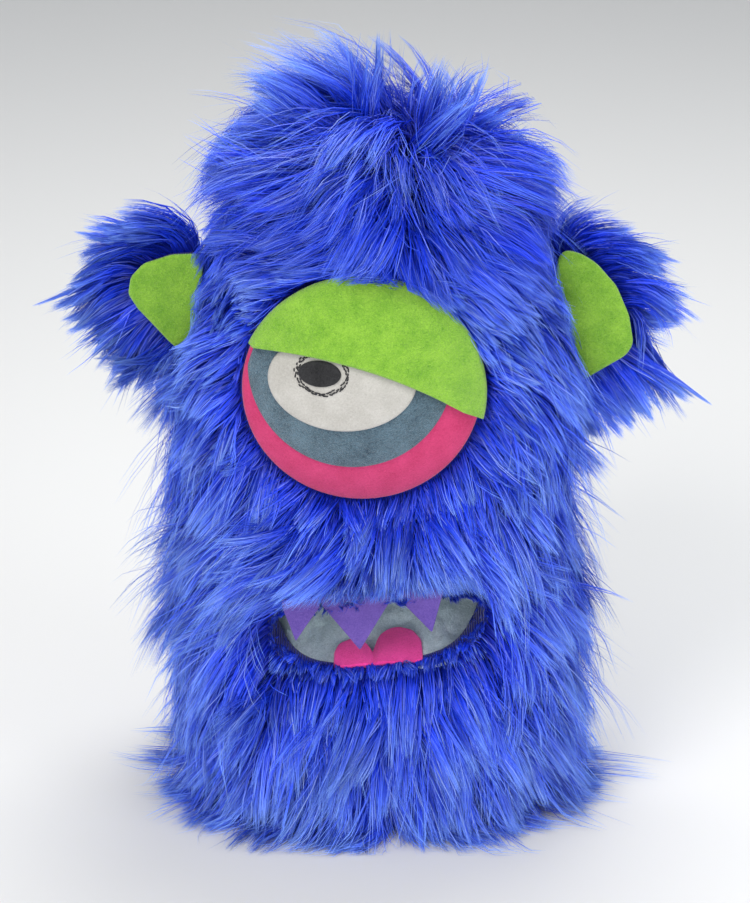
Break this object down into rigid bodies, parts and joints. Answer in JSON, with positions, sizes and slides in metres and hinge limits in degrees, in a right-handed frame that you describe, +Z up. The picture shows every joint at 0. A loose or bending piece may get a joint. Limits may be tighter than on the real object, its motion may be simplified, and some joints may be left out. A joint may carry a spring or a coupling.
{
  "type": "moving mouth puppet",
  "caption": "Shaggy monster hand puppet with a half-shut round eye, felt teeth, floppy fleece-faced ears, and a mouth that a hand inside opens and shuts.",
  "frame": {"origin": "middle of the hem's underside, centred on the overall box, on the surface the puppet stands on", "axes": "+Z up the body; -Y out of the face; +X to the viewer's right when looking at the face"},
  "size_m": [0.324, 0.187, 0.392],
  "materials": {
    "royal_fur": "long shaggy pile",
    "lime_fleece": "brushed nap",
    "pink_felt": "matt felt",
    "teal_fleece": "brushed nap",
    "white_felt": "matt felt",
    "black_felt": "matt felt",
    "black_thread": "twisted thread",
    "lining_fleece": "brushed nap",
    "violet_felt": "matt felt",
    "board": "matt",
    "stuffing": "loose fibre",
    "pad_foam": "open cell foam",
    "pocket_cloth": "plain weave",
    "sleeve_cloth": "plain weave"
  },
  "bodies": {
    "sleeve": {"sleeve_fur_front": "royal_fur", "sleeve_fur_back": "royal_fur", "sleeve_lining": "sleeve_cloth", "hem_band": "sleeve_cloth", "mouth_fold": "lining_fleece"},
    "head": {"head_fur_front": "royal_fur", "head_fur_back": "royal_fur", "head_stuffing": "stuffing", "face_pad": "pad_foam", "eye_disc": "pink_felt", "eye_iris": "teal_fleece", "eye_white": "white_felt", "eye_pupil": "black_felt", "pupil_stitch": "black_thread", "eyelid": "lime_fleece", "upper_mouth_board": "board", "upper_mouth_lining": "lining_fleece", "finger_pocket": "pocket_cloth", "tooth_left": "violet_felt", "tooth_middle": "violet_felt", "tooth_right": "violet_felt"},
    "jaw": {"lower_mouth_board": "board", "lower_mouth_lining": "lining_fleece", "tongue": "pink_felt", "thumb_pocket": "pocket_cloth", "chin_fur": "royal_fur"},
    "ear_left": {"ear_left_fur": "royal_fur", "ear_left_fleece": "lime_fleece"},
    "ear_right": {"ear_right_fur": "royal_fur", "ear_right_fleece": "lime_fleece"}
  },
  "joints": [
    {"name": "head_raise", "type": "hinge", "parent": "sleeve", "child": "head", "pos_m": [0, 0, 0.105], "axis": [-0.9962, 0, -0.0872], "range_deg": [-14, 20]},
    {"name": "jaw_open", "type": "hinge", "parent": "sleeve", "child": "jaw", "pos_m": [0, 0, 0.105], "axis": [0.9962, 0, 0.0872], "range_deg": [-16.5, 24]},
    {"name": "ear_left_flap", "type": "hinge", "parent": "head", "child": "ear_left", "pos_m": [-0.08602, 0, 0.262], "axis": [0, 0, 1], "range_deg": [-18, 18]},
    {"name": "ear_right_flap", "type": "hinge", "parent": "head", "child": "ear_right", "pos_m": [0.08638, 0, 0.252], "axis": [0, 0, -1], "range_deg": [-18, 18]}
  ]
}
